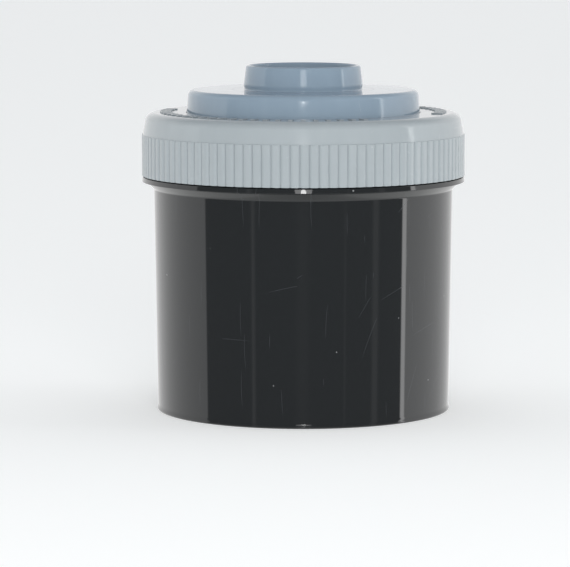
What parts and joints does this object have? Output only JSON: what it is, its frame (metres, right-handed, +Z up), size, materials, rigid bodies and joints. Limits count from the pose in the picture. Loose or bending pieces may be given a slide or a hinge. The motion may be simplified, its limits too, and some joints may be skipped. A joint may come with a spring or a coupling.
{
  "type": "roll-film developing tank",
  "caption": "Round black film developing tank with a ribbed grey screw ring, a stepped cover with a pouring neck, and a film apron and weight inside.",
  "frame": {"origin": "centre of the tank's base, on the surface it stands on", "axes": "+Z up along the tank's axis, towards the pouring neck; -Y is the side seen from the front"},
  "size_m": [0.1016, 0.1016, 0.1085],
  "materials": {
    "black_plastic": "polished black moulding with light handling scratches",
    "light_grey_plastic": "semi-gloss light grey moulding",
    "blue_grey_plastic": "semi-gloss blue-grey moulding",
    "apron_film": "translucent flexible sheet",
    "black_rubber": "matt moulded rubber",
    "stainless_steel": "brushed stainless steel"
  },
  "bodies": {
    "tank": {"tank_body": "black_plastic"},
    "lid": {"turret": "blue_grey_plastic", "pour_neck": "blue_grey_plastic", "light_baffle": "black_plastic", "rim_gasket": "black_rubber"},
    "screw_ring": {"cover_ring": "light_grey_plastic"},
    "apron": {"film_apron": "apron_film"},
    "weight": {"weight_disc": "stainless_steel"}
  },
  "joints": [
    {"name": "lid_rise", "type": "slide", "parent": "tank", "child": "lid", "axis": [0, 0, 1], "range_m": [0, 0.015]},
    {"name": "ring_turn", "type": "hinge", "parent": "lid", "child": "screw_ring", "pos_m": [0, 0, 0.081], "axis": [0, 0, 1], "range_deg": [0, 1080]},
    {"name": "apron_lift", "type": "slide", "parent": "tank", "child": "apron", "axis": [0, 0, 1], "range_m": [0, 0.004]},
    {"name": "weight_lift", "type": "slide", "parent": "apron", "child": "weight", "axis": [0, 0, 1], "range_m": [0, 0.005]}
  ],
  "couplings": [
    {"joint": "lid_rise", "follows": "ring_turn", "m_per_rad": 0.00079577}
  ]
}
